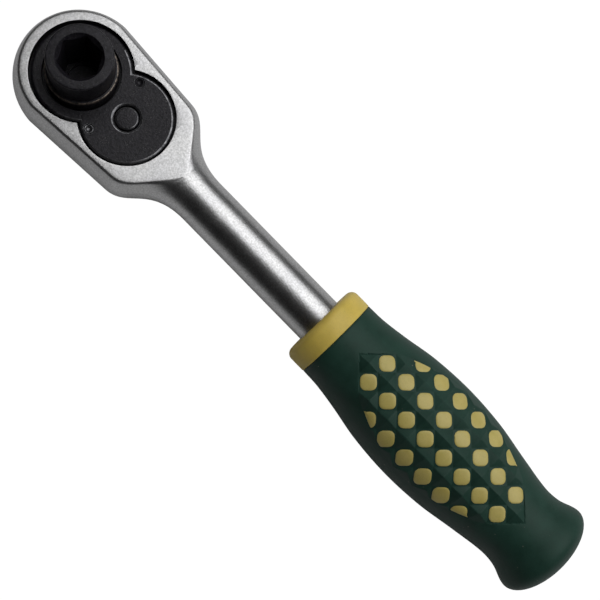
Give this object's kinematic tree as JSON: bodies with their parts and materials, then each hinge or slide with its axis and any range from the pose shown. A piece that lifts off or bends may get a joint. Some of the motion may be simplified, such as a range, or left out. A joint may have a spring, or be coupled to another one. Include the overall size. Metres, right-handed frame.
{
  "type": "ratchet wrench",
  "caption": "Compact ratchet wrench for hex bits: flat forged head with a toothed drive and hex socket, thumb lever on the back, round shank and a waisted two-colour grip.",
  "frame": {"origin": "on the drive axis, on the bottom of the hex socket where a bit's end rests", "axes": "+X runs along the handle towards its end, +Z out of the hex socket, the thumb lever is on the -Z side"},
  "size_m": [0.1236, 0.022, 0.0225],
  "materials": {
    "satin_steel": "bead-blasted satin chrome",
    "black_oxide": "black oxide, slightly oiled",
    "bright_steel": "ground steel",
    "yellow_plastic": "moulded, satin",
    "green_rubber": "soft moulded grip, fine matt"
  },
  "bodies": {
    "body": {"forged_body": "satin_steel", "cover_plate": "black_oxide", "cover_pin_left": "black_oxide", "cover_pin_right": "black_oxide", "friction_washer": "bright_steel", "grip_core": "yellow_plastic", "grip_sleeve": "green_rubber"},
    "drive": {"drive_spindle": "black_oxide", "bit_magnet": "bright_steel"},
    "lever": {"reversing_lever": "black_oxide", "retaining_clip": "bright_steel", "detent_ball": "bright_steel", "detent_spring": "bright_steel"},
    "rocker": {"pawl": "bright_steel"}
  },
  "joints": [
    {"name": "drive_spin", "type": "hinge", "parent": "body", "child": "drive", "pos_m": [0, 0, 0], "axis": [0, 0, 1], "continuous": true},
    {"name": "lever_turn", "type": "hinge", "parent": "body", "child": "lever", "pos_m": [0.01042, 0, 0], "axis": [0, 0, 1], "range_deg": [-40, 0]},
    {"name": "pawl_rock", "type": "hinge", "parent": "body", "child": "rocker", "pos_m": [0.01042, 0, 0], "axis": [0, 0, 1], "range_deg": [-8, 0]}
  ],
  "couplings": [
    {"joint": "pawl_rock", "follows": "lever_turn", "ratio": 0.2}
  ]
}
